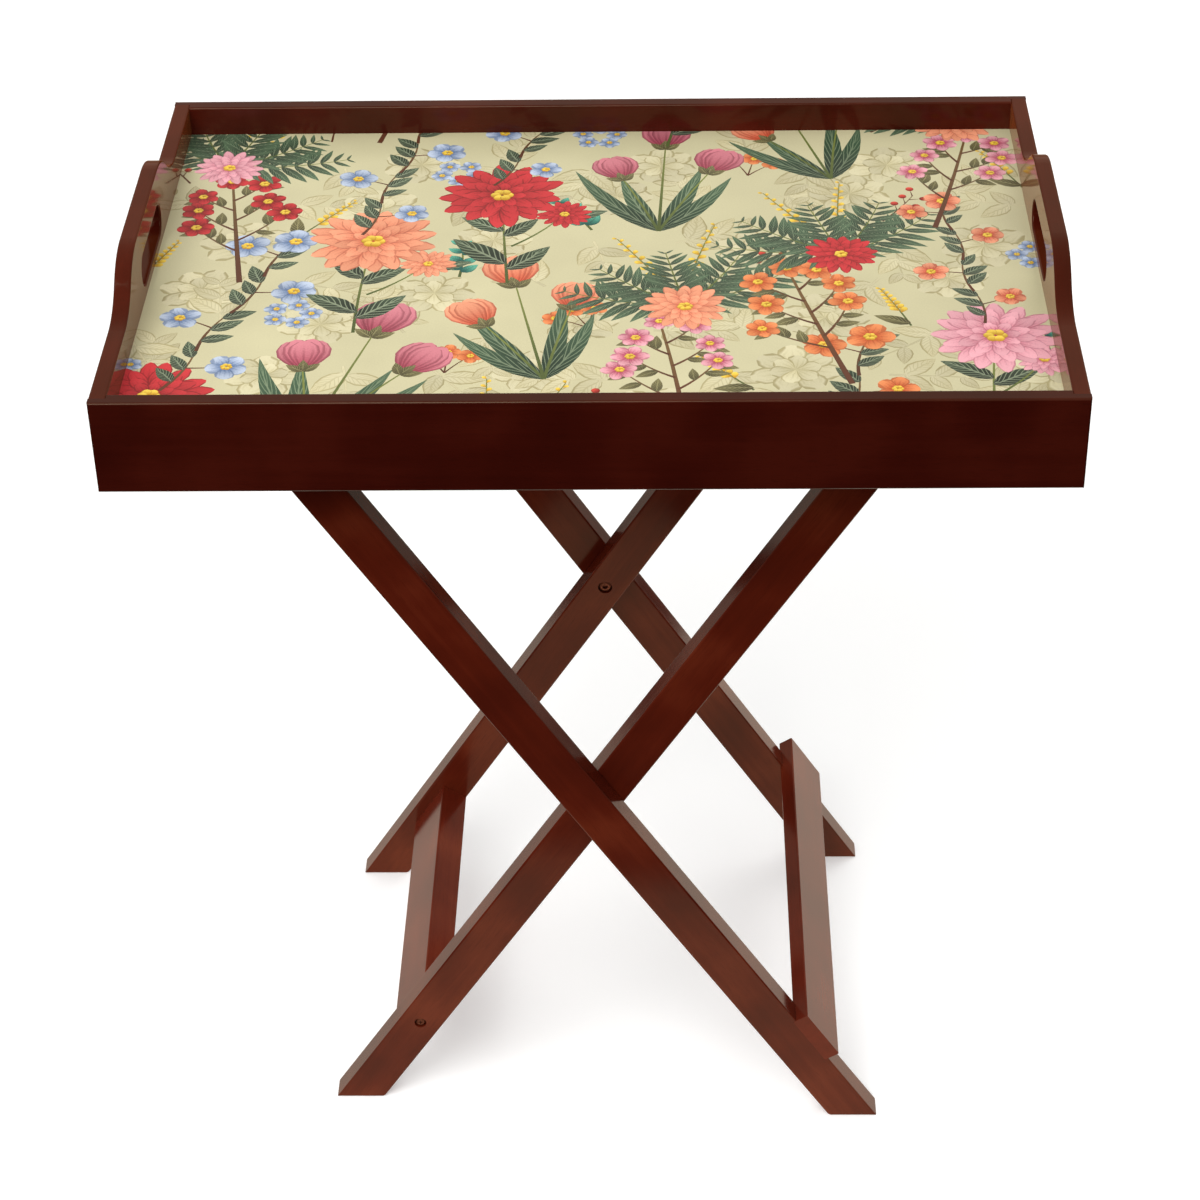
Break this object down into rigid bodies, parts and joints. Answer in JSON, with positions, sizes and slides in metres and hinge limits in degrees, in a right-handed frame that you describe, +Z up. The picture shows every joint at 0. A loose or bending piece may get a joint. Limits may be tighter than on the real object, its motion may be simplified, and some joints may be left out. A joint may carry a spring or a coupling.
{
  "type": "butlers tray table",
  "caption": "Handled wooden serving tray with a printed panel that lifts off a folding stand with crossed legs, stretchers and webbing stops.",
  "frame": {"origin": "on the floor, under the middle of the tray", "axes": "+X to the right along the tray's length, +Y from the front to the back, +Z up"},
  "size_m": [0.61, 0.41, 0.6865],
  "materials": {
    "mahogany": "dark red stain under gloss lacquer",
    "base_board": "stained plywood, matt",
    "printed_laminate": "printed paper under satin laminate",
    "steel": "dull zinc",
    "webbing": "woven",
    "brass": "dull"
  },
  "bodies": {
    "outer_frame": {"outer_front_leg": "mahogany", "outer_back_leg": "mahogany", "outer_stretcher": "mahogany", "outer_top_rail": "mahogany", "outer_stretcher_screws": "steel", "outer_rail_screws": "steel", "pivot_screws": "steel", "pivot_washers": "steel", "pivot_inserts": "steel", "front_strap": "webbing", "back_strap": "webbing", "outer_strap_tacks": "brass"},
    "inner_frame": {"inner_front_leg": "mahogany", "inner_back_leg": "mahogany", "inner_stretcher": "mahogany", "inner_top_rail": "mahogany", "inner_stretcher_screws": "steel", "inner_rail_screws": "steel", "inner_strap_tacks": "brass"},
    "tray": {"tray_front_wall": "mahogany", "tray_back_wall": "mahogany", "tray_left_end": "mahogany", "tray_right_end": "mahogany", "tray_base_board": "base_board", "tray_print_sheet": "printed_laminate", "tray_corner_pins": "steel"}
  },
  "joints": [
    {"name": "stand_fold", "type": "hinge", "parent": "outer_frame", "child": "inner_frame", "pos_m": [0, 0, 0.28901], "axis": [0, -1, 0], "range_deg": [0, 64.4], "deforming": ["front_strap", "back_strap"]},
    {"name": "tray_lift", "type": "slide", "parent": "outer_frame", "child": "tray", "axis": [0, 0, 1], "range_m": [0, 0.276]}
  ],
  "couplings": [
    {"joint": "tray_lift", "follows": "stand_fold", "m_per_rad": 0.245}
  ]
}
